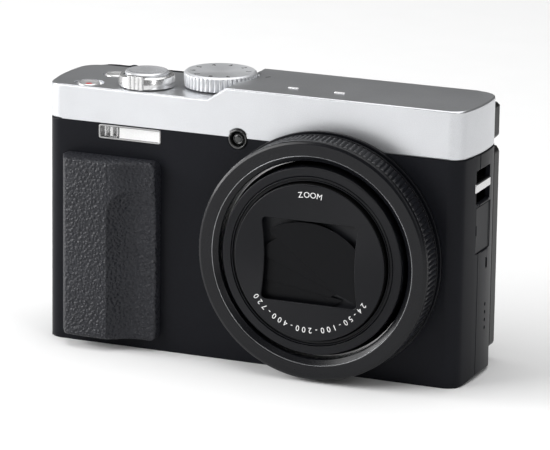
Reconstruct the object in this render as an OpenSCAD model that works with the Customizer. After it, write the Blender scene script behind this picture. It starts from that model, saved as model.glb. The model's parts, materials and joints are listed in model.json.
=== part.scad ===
// Compact digital camera with a collapsed 30x zoom lens, a tilting screen and an
// electronic viewfinder.
// Frame: millimetres, +Z up, the lens looks along -Y, +X is the lens end of the body.
// Origin: middle of the bounding box in plan, on the surface that the camera stands on.

/* [Body] */
// Width of the body
body_w = 113; // [110:0.5:116]
// Height of the low deck, which carries the dials
low_deck_z = 66; // [65.5:0.1:66.5]
// Height of the raised deck over the lens
high_deck_z = 69.3; // [69:0.1:69.6]
// Height of the joint between the black casing and the silver top cover
cover_z = 57.2; // [57:0.1:57.4]
// Depth from the front wall to the back of the top cover
deck_d = 25; // [24.6:0.1:25.4]
// Thickness of the casing walls
wall = 1.2; // [1:0.1:1.4]
// Radius of the front corners in plan
front_corner_r = 4; // [3.5:0.1:4.5]
// Radius of the rear corners in plan
rear_corner_r = 5.5; // [5:0.1:6]
// Radius of the slight bow of the two ends, as seen from above
end_bow_r = 50; // [45:1:80]

/* [Lens] */
// How far the front of the lens stands out of the front wall
lens_proud = 11; // [10.8:0.1:11.2]
// Sideways place of the lens axis
lens_x = 20; // [19.5:0.1:20.5]
// Height of the lens axis
lens_z = 30.8; // [30.7:0.1:31.2]
// Outer radius of the control ring
ring_r = 30; // [29.8:0.1:30.2]
// Travel of each lens barrel when the lens comes out
barrel_travel = 15; // [12:0.5:15]
// Radial running clearance between parts that turn or slide
run_gap = 0.15; // [0.1:0.01:0.2]

/* [Grip] */
// How far the ridge of the grip stands out of the front wall
grip_proud = 7.2; // [6.5:0.1:7.5]
// Thickness of the rubber skin on the grip
grip_skin_t = 1; // [0.8:0.1:1.2]

/* [Screen] */
// Width of the screen frame
screen_w = 79; // [77:0.5:79.5]
// Height of the screen frame
screen_h = 51.5; // [50:0.5:52]
// Thickness of the screen frame
screen_t = 4; // [3.8:0.1:4.1]

/* [Controls] */
// Radius of the mode dial
mode_dial_r = 9.2; // [9:0.1:9.3]
// Radius of the shutter button
shutter_r = 5.5; // [5.2:0.1:5.6]
// Radius of the zoom lever ring
lever_r = 7.1; // [7:0.1:7.3]
// Travel of the shutter button
shutter_travel = 0.8; // [0.5:0.1:0.9]

/* [Hidden] */
$fn = 96;

// Depths. The whole depth, lens to screen, is centred on the origin.
total_d = 41.6;
lens_front_y = -total_d / 2;
front_y = lens_front_y + lens_proud;
back_y = total_d / 2;
seam_y = front_y + 10.3;
deck_back_y = front_y + deck_d;
wall_back_y = deck_back_y + 0.3;
pad_back_y = back_y - 1;
// The grip end of the body lies this much further from the origin than the lens end
grip_end_more = 1;
half_w = (body_w - grip_end_more) / 2;
// Radius of the lower corners as seen from the front
foot_r = 2.2;
end_bow_y = front_y + 13.8;
end_bow_x = half_w - end_bow_r;
// Large number for cutting boxes
far = 200;
// Parts of one body that only rest side by side are this far apart
rest_gap = 0.05;

// Mode dial, zoom lever and button places on the low deck
mode_dial_at = [-14.8, front_y + 14.5];
mode_dial_h = 3.9;
shutter_at = [-31.9, front_y + 7.8];
shutter_top_z = low_deck_z + 4;
lever_h = 2.9;
deck_gap = 0.3;
record_at = [-46.4, front_y + 4.6];
record_r = 2.9;
power_at = [-44.4, front_y + 16.2];
power_r = 2.7;
button_play = 0.15;

// Flash, focus lamp and microphones
flash_x = [-41.5, -24.5];
flash_z = [53.2, 56.9];
lamp_x = -3.8;
lamp_z = 56.8;
lamp_r = 2.5;
mic_x = [7.8, 20];
mic_y = front_y + 7.3;

// Grip block on the front wall
grip_x = [-51.3, -24.5];
grip_z = [3, 49];

// Lens rings, from the outside in
bezel_in_r = 24.8;
barrel_1_r = 23.5;
barrel_2_r = 21.2;
barrel_3_r = 19.7;
barrel_wall = 1.1;
barrel_back_y = 3.2;
ring_front_y = front_y - 8.1;
ring_back_y = front_y - 2.6;
bezel_front_y = front_y - 9.8;
base_back_y = 6.4;
// Zoom motor and its pinion beside the lens, in x and z
pinion_r = 2;
pinion_shaft_r = 0.8;
pinion_at = [lens_x - 25.8, lens_z + 10.9];
motor_at = [lens_x - 29.6, lens_z + 19];
motor_r = 3.4;
gearbox_y = 8.5;
// Window of the barrier in the name ring
window_w = 25.4;
window_h = 20.6;
side_bow_r = 60;
mask_r = 9.6;
name_ring_t = 0.7;
blade_t = 0.3;
blade_pitch = 0.4;
blade_disc_r = 18.2;
// Turn of each blade from closed to open, clockwise as seen from the front
blade_turn = [30, 40, 30, 22];
blade_pin_r = 0.5;
upper_pin = [15.2, -6.2];
lower_pin = [-15.2, -5.3];

// Screen, its hinge and the viewfinder
screen_x = [-25.4, -25.4 + screen_w];
screen_z = [3.2, 3.2 + screen_h];
hinge_y = back_y - 0.9;
hinge_z = screen_z[1] + 0.9;
hinge_r = 0.8;
hinge_pin_r = 0.5;
finder_x = [24, 54.2];
finder_z = [56.9, 66.3];
finder_front_y = 6.8;
finder_back_y = back_y - 2.3;
knuckle_w = 5;
plate_knuckles = [-14, 42];
knuckle_gap = 0.2;

// Rear controls on the thumb side
pad_x = -26.4;
rear_dial_at = [-41.3, 19.5];
rear_dial_r = 10;
rear_dial_hole_r = 3.9;
set_r = 3.7;
rear_button_r = 2.4;
// Playback, display, delete and lock buttons, in x and z
rear_buttons = [[-33, 36.5], [-49.5, 36.5], [-33, 6.3], [-33, 55]];

// Ports and eyelet on the lens side
port_y = [front_y + 8.4, front_y + 18.4];
port_z = [32.2, 44];
eyelet_y = [front_y + 8.2, front_y + 17.4];
eyelet_z = [44.8, 53.2];
eyelet_bar_z = 47.7;
eyelet_bar_h = 2.3;

// Battery side
battery_size = [33.4, 13.2, 43.5];
battery_at = [-52.6, front_y + 2, 2.2];
door_x = [-53.2, -17.4];
door_y = [front_y + 1.6, front_y + 21.8];
door_t = 1.1;
door_pin_x = door_x[1] + 0.2;
tripod_at = [2, 4.4];
tripod_bore_r = 2.6;
screw_r = 0.9;
floor_screws = [[-12, 12], [-12, -6.5], [49, -4], [49, 11]];

// ---------- shared shapes ----------

// Box given by its lower and upper corners
module box(low, high) {
    translate(low) cube([high[0] - low[0], high[1] - low[1], high[2] - low[2]]);
}

// Points on an arc between two angles
function arc(centre, r, from, to, steps) =
    [for (i = [0 : steps]) centre + r * [cos(from + (to - from) * i / steps), sin(from + (to - from) * i / steps)]];

// Centre of a corner arc that runs smoothly into the bowed end
function corner_centre(y, r) =
    [end_bow_x + sqrt(pow(end_bow_r - r, 2) - pow(y - end_bow_y, 2)), y];

// Direction of a point seen from the centre of the bow
function bow_angle(at) = atan2(at[1] - end_bow_y, at[0] - end_bow_x);

// Plan outline between two depths, with its own radius at each end, shrunk by inset.
// Both ends of the body are slightly bowed.
module plan_outline(y0, y1, rf, rb, inset = 0) {
    front = corner_centre(y0 + rf, rf);
    back = corner_centre(y1 - rb, rb);
    bow = arc([end_bow_x, end_bow_y], end_bow_r - inset, bow_angle(front), bow_angle(back), 16);
    right = concat(
        arc(front, rf - inset, -90, bow_angle(front), 9),
        [for (i = [1 : 15]) bow[i]],
        arc(back, rb - inset, bow_angle(back), 90, 12)
    );
    left = [for (i = [len(right) - 1 : -1 : 0]) [-right[i][0] - grip_end_more, right[i][1]]];
    polygon(concat(right, left));
}

// Outline as seen from the front, with rounded lower corners
module front_outline(z0, z1, r, inset = 0) {
    right = half_w - inset;
    left = -right - grip_end_more;
    translate([left, z0 + r]) square([right - left, z1 - z0 - r]);
    translate([left + r, z0]) square([right - left - 2 * r, r + 0.01]);
    for (x = [left + r, right - r]) translate([x, z0 + r]) circle(r);
}

// Turns a drawing in x and z into a solid between two depths
module along_y(y0, y1) {
    translate([0, y1, 0]) rotate([90, 0, 0]) linear_extrude(y1 - y0) children();
}

// Body block between two depths and two heights
module body_block(y0, y1, z0, z1, inset = 0) {
    intersection() {
        translate([0, 0, z0]) linear_extrude(z1 - z0)
            plan_outline(front_y, wall_back_y, front_corner_r, rear_corner_r, inset);
        along_y(y0, y1) front_outline(inset, far, max(foot_r - inset, 0.5), inset);
    }
}

// Rounded rectangle, drawn flat, between two corners
module rounded_rect(low, high, r) {
    translate([low[0] + r, low[1]]) square([high[0] - low[0] - 2 * r, high[1] - low[1]]);
    translate([low[0], low[1] + r]) square([high[0] - low[0], high[1] - low[1] - 2 * r]);
    for (x = [low[0] + r, high[0] - r]) for (y = [low[1] + r, high[1] - r])
        translate([x, y]) circle(r);
}

// Disc on the lens axis between two depths
module lens_disc(y0, y1, r) {
    translate([lens_x, y1, lens_z]) rotate([90, 0, 0]) cylinder(h = y1 - y0, r = r);
}

// Ring on the lens axis
module lens_ring(y0, y1, r_out, r_in) {
    difference() {
        lens_disc(y0, y1, r_out);
        lens_disc(y0 - 1, y1 + 1, r_in);
    }
}

// Ring on the lens axis with a chamfered front edge
module chamfered_ring(y0, y1, r_out, r_in, c) {
    translate([lens_x, 0, lens_z]) rotate([90, 0, 0]) rotate_extrude()
        polygon([
            [r_in, -y1], [r_out, -y1], [r_out, -y0 - c], [r_out - c, -y0],
            [r_in + c, -y0], [r_in, -y0 - c]
        ]);
}

// Upright cylinder at a place in plan
module post(at, z0, z1, r) {
    translate([at[0], at[1], z0]) cylinder(h = z1 - z0, r = r);
}

// Cylinder along Y at a place given as x and z
module stub(at, y0, y1, r) {
    translate([at[0], y1, at[1]]) rotate([90, 0, 0]) cylinder(h = y1 - y0, r = r);
}

// ---------- casings ----------

// Section of the grip block at a height, as points in plan, pulled in by inset
function grip_section(inset, proud) = [
    [grip_x[0] + inset, front_y + 0.3],
    [grip_x[1] - inset, front_y + 0.3],
    [grip_x[1] - inset, front_y - proud * 0.48 + inset],
    [grip_x[1] - 4.5, front_y - proud * 0.62 + inset],
    [grip_x[1] - 9.5, front_y - proud * 0.88 + inset],
    [grip_x[0] + 13, front_y - proud + inset],
    [grip_x[0] + 8, front_y - proud * 0.93 + inset],
    [grip_x[0] + 3.5, front_y - proud * 0.76 + inset],
    [grip_x[0] + inset, front_y - proud * 0.42 + inset]
];

// Grip block without its finger hollow
module grip_block(inset) {
    translate([0, 0, grip_z[0] + inset]) linear_extrude(grip_z[1] - grip_z[0] - 2 * inset)
        polygon(grip_section(inset, grip_proud));
}

// Finger hollow beside the ridge of the grip, below its top shelf
module finger_hollow(inset) {
    hollow_top = 42 - inset;
    // distance from the right edge of the grip, and how far the surface stands out there
    slope = [[5.3, 2.8], [6.9, 3.05], [8.9, 4.0], [10.9, 5.4], [12.9, 7.2], [13.9, 8.3]];
    translate([0, 0, -1]) linear_extrude(hollow_top + 1) polygon(concat(
        [[grip_x[1] + 5, front_y - 2.6 + inset]],
        [for (p = slope) [grip_x[1] - p[0], front_y - p[1] + inset]],
        [[grip_x[1] + 5, front_y - slope[5][1] + inset]]
    ));
}

module grip_solid(inset) {
    difference() {
        grip_block(inset);
        finger_hollow(inset);
    }
}

module front_casing() {
    color("#1c1d20") difference() {
        union() {
            difference() {
                body_block(front_y, seam_y, 0, cover_z - rest_gap);
                body_block(front_y, seam_y + 1, wall, far, wall);
            }
            grip_solid(grip_skin_t);
            // rails that hold the flash unit
            box([flash_x[0] - 1.5, front_y + wall - 0.1, flash_z[0] - 1.2],
                [flash_x[1] + 1.5, front_y + 5, flash_z[0] - 0.4]);
        }
        // room for the battery behind the grip
        box([-49.5, front_y - 3.6, 4], [-37.5, front_y + wall + 0.1, 46]);
        lens_disc(front_y - 1, front_y + 3, 27.6);
        box([flash_x[0], front_y - 1, flash_z[0]], [flash_x[1], front_y + 3, flash_z[1]]);
        stub([lamp_x, lamp_z], front_y - 1, front_y + 3, lamp_r);
        side_openings();
        floor_openings();
    }
}

module rear_casing() {
    color("#1b1c1f") difference() {
        union() {
            difference() {
                union() {
                    body_block(seam_y, wall_back_y, 0, cover_z - rest_gap);
                    thumb_pad(0);
                }
                body_block(seam_y - 1, wall_back_y, wall, far, wall);
                thumb_pad(wall);
            }
            upper_back_wall();
            // rib that carries the screen hinge
            box([-20, wall_back_y - 1.9, 52], [50, wall_back_y - wall + 0.1, 54]);
            // seat of the rear dial
            stub(rear_dial_at, pad_back_y - 3, pad_back_y - wall + 0.1, rear_dial_r + 1.4);
        }
        finder_cut();
        side_openings();
        floor_openings();
        stub(rear_dial_at, pad_back_y - 1.8, far, rear_dial_r + 0.2);
        stub(rear_dial_at, 0, far, 3.4);
        for (b = rear_buttons) stub(b, 0, far, rear_button_r + button_play);
        // room for the hinge knuckles
        along_y(wall_back_y - 0.2, far) translate([-21.4, hinge_z - 1.3]) square([71, 2.6]);
    }
}

// Upper back wall, which closes the top cover from behind
module upper_back_wall() {
    box([-half_w + wall + 4.1, deck_back_y - wall, cover_z - 2],
        [half_w - wall - 4.1, deck_back_y, finder_z[1] - 1]);
    box([pad_x - 1, deck_back_y - 0.1, cover_z - 2],
        [half_w - wall - 4.1, wall_back_y, cover_z - rest_gap]);
}

// Raised pad on the back for the thumb, with its hump above the deck
module thumb_pad(inset) {
    x0 = -half_w + 0.8 + inset;
    x1 = pad_x - inset;
    r = rear_corner_r - inset;
    y1 = pad_back_y - inset;
    z0 = inset > 0 ? 3 : 0;
    y0 = inset > 0 ? wall_back_y - wall - 1 : deck_back_y + rest_gap;
    translate([0, 0, z0]) linear_extrude(low_deck_z - 0.7 - inset - z0) intersection() {
        translate([x0, y0]) square([x1 - x0, y1 - y0]);
        hull() {
            translate([x0 + r, y1 - r]) circle(r);
            translate([x1 - 2, y1 - 2]) circle(2);
            translate([x0, y0 - r]) square([x1 - x0, 1]);
        }
    }
    if (inset == 0) thumb_hump();
}

module thumb_hump() {
    intersection() {
        hull() {
            translate([-49, deck_back_y + 2.3, low_deck_z - 3.2]) sphere(r = 2, $fn = 24);
            translate([-44.5, deck_back_y + 2.6, low_deck_z - 1.9]) sphere(r = 2, $fn = 24);
            translate([-38.5, deck_back_y + 2.3, low_deck_z - 3]) sphere(r = 2, $fn = 24);
        }
        box([-far, deck_back_y + rest_gap, low_deck_z - 1], [far, pad_back_y, far]);
    }
}

// Openings in the lens side of the casings
module side_openings() {
    box([half_w - 3.2, port_y[0], port_z[0]], [far, port_y[1], port_z[1]]);
    box([half_w - 3.6, eyelet_y[0], eyelet_z[0]], [far, eyelet_y[1], eyelet_z[1]]);
    // seats of the eyelet bar
    box([half_w - 1.35, eyelet_y[0] - 0.65, eyelet_bar_z - 0.05],
        [far, eyelet_y[1] + 0.65, eyelet_bar_z + eyelet_bar_h + 0.05]);
    // small slot for a plug-in power lead
    box([half_w - 3.2, front_y + 15.4, 27.2], [far, front_y + 16.8, 29.8]);
    // speaker holes
    for (i = [0 : 3]) translate([half_w - 3, front_y + 16, 12 + 2 * i]) rotate([0, 90, 0])
        cylinder(h = 9, r = 0.5);
}

// Openings in the floor of the casings
module floor_openings() {
    box([door_x[0], door_y[0], -1], [door_x[1], door_y[1], wall + 0.3]);
    post(tripod_at, -1, wall + 0.01, 4.6);
    for (at = floor_screws) {
        post(at, -1, 0.75, screw_r + 0.55);
        post(at, 0, wall + 0.01, screw_r);
    }
}

// Deck outline as seen from the front: low at the dials, raised over the lens
function deck_profile(drop) = [
    [-far, cover_z - 5], [-far, low_deck_z - drop],
    [-12.2, low_deck_z - drop], [-7.2 + drop * 0.5, high_deck_z - drop],
    [far, high_deck_z - drop], [far, cover_z - 5]
];

module cover_block(inset) {
    intersection() {
        translate([0, 0, cover_z]) linear_extrude(far)
            plan_outline(front_y, deck_back_y, front_corner_r, rear_corner_r, inset);
        along_y(-far, far) polygon(deck_profile(inset));
    }
}

module top_cover() {
    color("#d4d6d8") difference() {
        cover_block(0);
        difference() {
            translate([0, 0, -0.01]) cover_block(wall);
            // boss under the mode dial
            post(mode_dial_at, cover_z - 1, far, 6);
        }
        post(mode_dial_at, 0, low_deck_z - wall, 4.6 + run_gap);
        // the cover is open at the back, where the rear casing closes it
        box([-half_w + wall + 4, deck_back_y - 3, cover_z - 1],
            [half_w - wall - 4, far, finder_z[1] - 0.9]);
        finder_cut();
        // wells of the mode dial, the shutter and the two buttons
        post(mode_dial_at, low_deck_z, far, mode_dial_r + 0.5);
        post(mode_dial_at, 0, far, 2 + run_gap);
        post(shutter_at, 0, far, 3.2);
        post(record_at, low_deck_z - 0.7, far, record_r + 0.9);
        post(record_at, 0, far, record_r + button_play);
        post(power_at, low_deck_z - 0.5, far, power_r + 0.6);
        post(power_at, 0, far, power_r + button_play);
        for (x = mic_x) translate([x - 1.35, mic_y - 0.3, 0]) cube([2.7, 0.6, far]);
        stub([lamp_x, lamp_z], front_y - 1, front_y + 3, lamp_r);
        lens_disc(front_y - 1, front_y + 3, 27.6);
    }
}

// ---------- frame and electronics ----------

module chassis() {
    color("#a9adb1") difference() {
        union() {
            box([-16, 10, 2], [51, 10.8, 55]);
            box([-16, front_y + 3, 2], [52, 10.1, 3]);
            for (x = [-15, 50]) post([x, 8.4], 2, 8, 1.6);
        }
        stub([lens_x, lens_z], 0, far, 9);
        post(tripod_at, -1, far, 4.6);
        lens_disc(front_y, base_back_y + 0.3, 27.5);
    }
}

module main_board() {
    color("#1f5c3a") union() {
        difference() {
            box([-15, 11.4, 6], [51, 12.4, 54]);
            stub([lens_x, lens_z], 0, far, 6);
        }
        // chips
        for (at = [[-4, 16], [-2, 38], [36, 42], [38, 14]])
            box([at[0], 12.3, at[1]], [at[0] + 11, 13.3, at[1] + 9]);
    }
}

module image_sensor() {
    color("#3a3f46") union() {
        box([lens_x - 7, base_back_y + rest_gap, lens_z - 6],
            [lens_x + 7, base_back_y + 1.5, lens_z + 6]);
        box([lens_x - 8, base_back_y + 1.4, lens_z - 7],
            [lens_x + 8, base_back_y + 2.2, lens_z + 7]);
    }
}

module battery() {
    color("#2b2d33") translate(battery_at) cube(battery_size);
}

module memory_card() {
    color("#24305e") box([-49, front_y + 17, 14], [-25, front_y + 19.1, 46]);
}

module flash_capacitor() {
    color("#20242a") post([-12.4, front_y + 6], 8, 42, 3.6);
}

module speaker() {
    color("#3b3b3d") translate([half_w - 4.9, front_y + 16, 15]) rotate([0, 90, 0])
        cylinder(h = 2.2, r = 4);
}

module microphones() {
    color("#4b4c4e") for (x = mic_x)
        post([x, mic_y], high_deck_z - wall - 2.6, high_deck_z - wall - rest_gap, 2.2);
}

// ---------- lens ----------

module lens_base() {
    color("#26272a") difference() {
        union() {
            lens_ring(front_y - 0.2, base_back_y, 27.4, 26.1);
            lens_disc(base_back_y - 1.4, base_back_y, 27.4);
            // nose that carries the control ring
            lens_ring(bezel_front_y + 3, front_y, 27.4, 26.1);
        }
        box([lens_x - 6.5, 0, lens_z - 5.5], [lens_x + 6.5, far, lens_z + 5.5]);
        // opening for the pinion of the zoom motor
        zoom_pinion_room();
    }
}

module zoom_pinion_room() {
    stub(pinion_at, -3.3, 3.7, pinion_r + 0.5);
    stub(pinion_at, 0, far, pinion_shaft_r + 0.4);
}

module lens_flange() {
    color("#1d1e21") union() {
        lens_ring(front_y - 1.1, front_y - rest_gap, 30.5, 27.45);
        lens_ring(front_y - 2.4, front_y - 1.7, ring_r, 27.45);
        lens_ring(front_y - 1.8, front_y - 1, 29, 27.45);
    }
}

module front_bezel() {
    color("#2d2e31") union() {
        chamfered_ring(bezel_front_y, ring_front_y - 0.15, ring_r, bezel_in_r, 0.5);
        lens_ring(bezel_front_y + 1, bezel_front_y + 2.9, 27.4, bezel_in_r);
    }
}

module control_ring() {
    color("#232427") difference() {
        lens_ring(ring_front_y, ring_back_y, ring_r, 27.4 + run_gap);
        for (a = [0 : 8 : 359]) translate([lens_x, 0, lens_z]) rotate([0, a, 0])
            translate([ring_r + 0.15, ring_back_y + 1, 0]) rotate([90, 0, 0])
                cylinder(h = ring_back_y - ring_front_y - 0.6, r = 0.45, $fn = 24);
    }
}

module cam_ring() {
    color("#8b8f94") difference() {
        lens_ring(front_y - 6, base_back_y - 1.6, 25.9, 24.4);
        // three slanted cam slots, drawn as stepped cuts
        for (a = [0, 120, 240]) for (i = [0 : 5])
            translate([lens_x, 0, lens_z]) rotate([0, a + 11 * i, 0])
                translate([25, front_y - 4 + 2.3 * i, 0]) rotate([0, 90, 0])
                    translate([0, 0, -2]) cylinder(h = 4, r = 1.5);
    }
}

module zoom_motor() {
    color("#b5b8bb") difference() {
        union() {
            stub(motor_at, -4.4, gearbox_y + 0.1, motor_r);
            box([motor_at[0] - motor_r, gearbox_y, pinion_at[1] - 3],
                [pinion_at[0] + 3, gearbox_y + 1.2, motor_at[1] + motor_r]);
        }
        stub(pinion_at, gearbox_y - 1, far, pinion_shaft_r + 0.05);
    }
}

module zoom_pinion() {
    color("#d8c9a0") union() {
        stub(pinion_at, -2.8, 3.2, pinion_r);
        stub(pinion_at, 3.1, gearbox_y + 1, pinion_shaft_r);
    }
}

module barrel(y0, r) {
    chamfered_ring(y0, barrel_back_y, r, r - barrel_wall, 0.25);
}

module barrel_1() {
    color("#2f3033") union() {
        barrel(bezel_front_y + 0.2, barrel_1_r);
        lens_ring(bezel_front_y + 0.2, bezel_front_y + 1.2, barrel_1_r - 0.5, barrel_2_r + run_gap);
        // rear collar that runs in the fixed barrel
        lens_ring(barrel_back_y - 2, barrel_back_y, 24.2, barrel_1_r - 0.5);
    }
}

module barrel_2() {
    color("#303134") union() {
        barrel(bezel_front_y - 0.3, barrel_2_r);
        lens_ring(bezel_front_y - 0.3, bezel_front_y + 0.7, barrel_2_r - 0.5, barrel_3_r + run_gap);
        lens_ring(barrel_back_y - 2, barrel_back_y, barrel_1_r - barrel_wall - run_gap,
                  barrel_2_r - 0.5);
    }
}

module barrel_3() {
    color("#2b2c2f") union() {
        barrel(lens_front_y + 0.5, barrel_3_r);
        lens_ring(barrel_back_y - 2, barrel_back_y, barrel_2_r - barrel_wall - run_gap,
                  barrel_3_r - 0.5);
        // wall that carries the front element and masks the corners of the window
        lens_ring(lens_front_y + 2.6, lens_front_y + 3.2, barrel_3_r - 0.5, mask_r);
        for (at = [upper_pin, lower_pin]) stub([lens_x + at[0], lens_z + at[1]],
            lens_front_y + name_ring_t + 0.1, lens_front_y + 2.7, blade_pin_r);
    }
}

module name_ring() {
    color("#2a2b2e") difference() {
        union() {
            lens_disc(lens_front_y, lens_front_y + name_ring_t, barrel_3_r - barrel_wall - rest_gap);
            lens_disc(lens_front_y, lens_front_y + name_ring_t - 0.25, barrel_3_r - 0.1);
        }
        difference() {
            box([lens_x - window_w / 2, -far, lens_z - window_h / 2],
                [lens_x + window_w / 2, far, lens_z + window_h / 2]);
            // the sides of the window bow inwards
            for (s = [-1, 1]) stub([lens_x + s * (window_w / 2 + side_bow_r - 0.9), lens_z],
                -far, far, side_bow_r);
        }
    }
}

module front_element() {
    color("#34495e", 0.8) translate([lens_x, lens_front_y + 3.25, lens_z]) rotate([-90, 0, 0])
        intersection() {
            translate([0, 0, 30]) sphere(r = 30, $fn = 128);
            cylinder(h = 6, r = barrel_3_r - barrel_wall - 0.1);
        }
}

// Flat outline of one barrier blade, in x and z about the lens axis
module blade_cover(number) {
    // seams between neighbouring blades fan out from the lower right
    seam_1 = [[-20, 14], [7.3, -7.4]];
    seam_2 = [[-20, 3.2], [13.3, -9.7]];
    seam_3 = [[-20, -4.6], [13.3, -9.7]];
    if (number == 1) polygon([seam_1[0], seam_1[1], seam_2[1], [20, -9.7], [20, 20], [-20, 20]]);
    // the second blade reaches a little way behind the first
    if (number == 2) polygon([seam_2[0], seam_2[1], [20, -12], [20, 0], [8, -4], [-20, 16]]);
    if (number == 3) polygon([seam_3[0], seam_3[1], seam_2[1], seam_2[0]]);
    if (number == 4) polygon([[-20, -20], [20, -20], [20, -9.8], seam_3[1], seam_3[0]]);
}

// A blade stays inside the barrel both closed and open: the part kept is inside the
// barrel's circle at both ends of its turn
module blade(number, pin, turn) {
    level = lens_front_y + name_ring_t + 0.15 + blade_pitch * (number - 1);
    other = pin == upper_pin ? lower_pin : upper_pin;
    translate([lens_x, 0, lens_z]) along_y(level, level + blade_t) difference() {
        intersection() {
            union() {
                blade_cover(number);
                translate(pin) circle(1.6);
            }
            circle(blade_disc_r);
            translate(pin) rotate(turn) translate(-pin) circle(blade_disc_r);
        }
        translate(pin) circle(blade_pin_r + 0.08);
        // room for the other pin over the whole turn
        for (k = [0 : 6]) translate(pin) rotate(turn * k / 6)
            translate(other - pin) circle(blade_pin_r + 0.7);
    }
}

module barrier_blade_1() { color("#17181a") blade(1, upper_pin, blade_turn[0]); }
module barrier_blade_2() { color("#191a1c") blade(2, upper_pin, blade_turn[1]); }
module barrier_blade_3() { color("#17181a") blade(3, lower_pin, blade_turn[2]); }
module barrier_blade_4() { color("#191a1c") blade(4, lower_pin, blade_turn[3]); }

// ---------- front details ----------

module grip_skin() {
    color("#2c2d30") difference() {
        grip_solid(0);
        grip_solid(grip_skin_t);
        box([-far, front_y, -far], [far, far, far]);
    }
}

module flash_window() {
    color("#e8ecef", 0.9) difference() {
        box([flash_x[0] + rest_gap, front_y - 0.15, flash_z[0] + rest_gap],
            [flash_x[1] - rest_gap, front_y + 2.2, flash_z[1] - rest_gap]);
        box([flash_x[0] + 0.8, front_y + 0.9, flash_z[0] + 0.6],
            [flash_x[1] - 0.8, front_y + 3, flash_z[1] - 0.6]);
    }
}

module flash_reflector() {
    color("#cfd2d4") difference() {
        box([flash_x[0] + 0.4, front_y + 2.3, flash_z[0] + 0.1],
            [flash_x[1] - 0.2, front_y + 6, flash_z[1] - 0.2]);
        translate([0, front_y + 2.2, (flash_z[0] + flash_z[1]) / 2]) rotate([0, 90, 0])
            translate([0, 0, flash_x[0] + 4.6]) cylinder(h = 11.6, r = 1.4);
    }
}

module af_lamp() {
    color("#2a2c2f") union() {
        stub([lamp_x, lamp_z], front_y - 0.35, front_y + 2.6, lamp_r - rest_gap);
        stub([lamp_x, lamp_z], front_y + 2.5, front_y + 3.6, lamp_r - 0.8);
    }
}

// ---------- top controls ----------

module mode_dial() {
    z0 = low_deck_z + deck_gap;
    color("#c9cbcd") difference() {
        union() {
            post(mode_dial_at, z0, z0 + mode_dial_h - 0.5, mode_dial_r);
            translate([mode_dial_at[0], mode_dial_at[1], z0 + mode_dial_h - 0.5])
                cylinder(h = 0.5, r1 = mode_dial_r, r2 = mode_dial_r - 0.5);
        }
        for (a = [0 : 9 : 359]) translate([mode_dial_at[0], mode_dial_at[1], z0 - 1])
            rotate(a) translate([mode_dial_r + 0.25, 0, 0]) cylinder(h = 4.4, r = 0.45, $fn = 24);
        post(mode_dial_at, z0 - 1, z0 + 2.6, 1.6 + 0.05);
    }
}

module mode_dial_shaft() {
    color("#b9a86a") union() {
        post(mode_dial_at, cover_z + 1, low_deck_z - wall - 0.2, 4.6);
        post(mode_dial_at, cover_z + 2, low_deck_z + deck_gap + 2.5, 1.6);
    }
}

module zoom_lever() {
    z0 = low_deck_z + deck_gap;
    color("#cdcfd1") difference() {
        union() {
            post(shutter_at, z0, z0 + lever_h, lever_r);
            difference() {
                box([shutter_at[0] - 2.2, shutter_at[1] - lever_r - 0.4, z0],
                    [shutter_at[0] + 2.2, shutter_at[1] - lever_r + 2, z0 + lever_h + 0.5]);
                for (i = [-1 : 1]) translate([shutter_at[0] + 1.1 * i, shutter_at[1] - lever_r - 0.5, 0])
                    cylinder(h = far, r = 0.3, $fn = 24);
            }
        }
        post(shutter_at, z0 - 1, far, shutter_r + run_gap + 0.1);
    }
    // floor of the lever, which turns on the button's guide
    color("#b9bbbd") difference() {
        post(shutter_at, z0, z0 + 0.8, shutter_r + 1);
        post(shutter_at, z0 - 1, far, 3.2);
    }
}

module shutter_button() {
    z0 = low_deck_z + deck_gap + 0.8 + shutter_travel + 0.2;
    color("#d7d8da") union() {
        difference() {
            post(shutter_at, z0, shutter_top_z, shutter_r);
            // dished top
            translate([shutter_at[0], shutter_at[1], shutter_top_z + 29.7]) sphere(r = 30, $fn = 128);
        }
        post(shutter_at, low_deck_z - 3, z0 + 0.1, 2.9);
    }
}

module shutter_spring() {
    color("#9a9da0") difference() {
        post(shutter_at, low_deck_z - 6.6, low_deck_z - 3.1 - shutter_travel, 2.4);
        post(shutter_at, 0, far, 1.9);
    }
}

// Round push button in a well of the deck
module deck_button(at, r, top_z) {
    difference() {
        post(at, top_z - 3.6, top_z, r);
        translate([at[0], at[1], top_z + 9.75]) sphere(r = 10, $fn = 96);
    }
}

module record_button() { color("#d5d7d9") deck_button(record_at, record_r, low_deck_z + 0.1); }
module power_button() { color("#d5d7d9") deck_button(power_at, power_r, low_deck_z + 0.2); }

// ---------- viewfinder ----------

// Opening of the viewfinder in the rear wall and the top cover
module finder_cut() {
    box([finder_x[0] - 0.1, finder_front_y, finder_z[0] - 0.1], [finder_x[1] + 0.1, far, finder_z[1] + 0.1]);
}

module viewfinder_housing() {
    color("#1a1b1d") difference() {
        along_y(finder_front_y, finder_back_y) polygon([
            [finder_x[0], finder_z[0] + 1.2], [finder_x[0] + 1.2, finder_z[0]],
            [finder_x[1] - 1.2, finder_z[0]], [finder_x[1], finder_z[0] + 1.2],
            [finder_x[1], finder_z[1] - 0.8], [finder_x[1] - 0.8, finder_z[1]],
            [finder_x[0] + 0.8, finder_z[1]], [finder_x[0], finder_z[1] - 0.8]
        ]);
        box([finder_x[0] + 8.5, finder_front_y + 1.2, finder_z[0] + 1.4],
            [finder_x[0] + 21.5, far, finder_z[1] - 1.4]);
    }
}

module eyepiece_lens() {
    color("#2c3a48", 0.8) box([finder_x[0] + 8.6, finder_back_y - 2.6, finder_z[0] + 1.5],
        [finder_x[0] + 21.4, finder_back_y - 1.2, finder_z[1] - 1.5]);
}

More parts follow.
